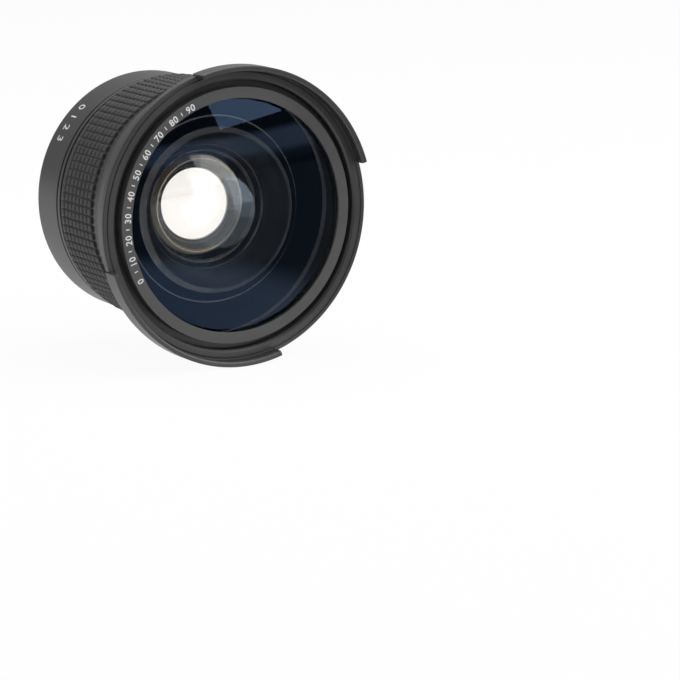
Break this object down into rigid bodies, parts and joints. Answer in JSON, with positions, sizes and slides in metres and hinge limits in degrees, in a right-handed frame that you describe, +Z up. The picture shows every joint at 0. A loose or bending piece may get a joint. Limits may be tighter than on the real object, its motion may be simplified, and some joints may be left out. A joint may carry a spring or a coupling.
{
  "type": "fisheye lens",
  "caption": "Screw-on fisheye converter lens with a two-lobed hood, ribbed rubber grip and a rear unit that unscrews for close-ups.",
  "frame": {"origin": "on the optical axis at the rear shoulder that meets the camera lens", "axes": "+Z up, optical axis along Y with the front glass facing -Y and the camera thread pointing +Y"},
  "size_m": [0.086, 0.063, 0.087],
  "materials": {
    "black_anodised": "black anodised, fine satin",
    "grey_matte": "dark grey matte paint",
    "rubber": "moulded black rubber with small square pads",
    "coated_glass": "clear, blue anti-reflection coating",
    "inner_glass": "clear, coated",
    "blackened": "flat black",
    "seal": "black soft ring",
    "washer_plastic": "black plastic washer",
    "brass_shim": "plain shim"
  },
  "bodies": {
    "rear_unit": {"rear_ring": "black_anodised", "mount_collar": "black_anodised", "macro_retaining_ring": "blackened", "macro_front_element": "inner_glass", "macro_spacer": "blackened", "macro_rear_element": "inner_glass", "rear_gasket": "seal"},
    "washer": {"seam_washer": "washer_plastic"},
    "front_unit": {"front_barrel": "black_anodised", "petal_hood": "black_anodised", "rubber_grip": "rubber", "name_ring": "grey_matte", "front_gasket": "seal", "front_element": "coated_glass", "front_spacer": "blackened", "inner_cell": "blackened", "cell_shim": "brass_shim", "second_element": "inner_glass", "cell_retaining_ring": "blackened", "ridged_baffle": "blackened"}
  },
  "joints": [
    {"name": "front_unit_travel", "type": "slide", "parent": "rear_unit", "child": "washer", "axis": [0, -1, 0], "range_m": [0, 0.0039]},
    {"name": "front_unit_unscrew", "type": "hinge", "parent": "washer", "child": "front_unit", "pos_m": [0, -0.015, 0], "axis": [0, -1, 0], "range_deg": [0, 1872]}
  ],
  "couplings": [
    {"joint": "front_unit_travel", "follows": "front_unit_unscrew", "m_per_rad": 0.00011937}
  ]
}
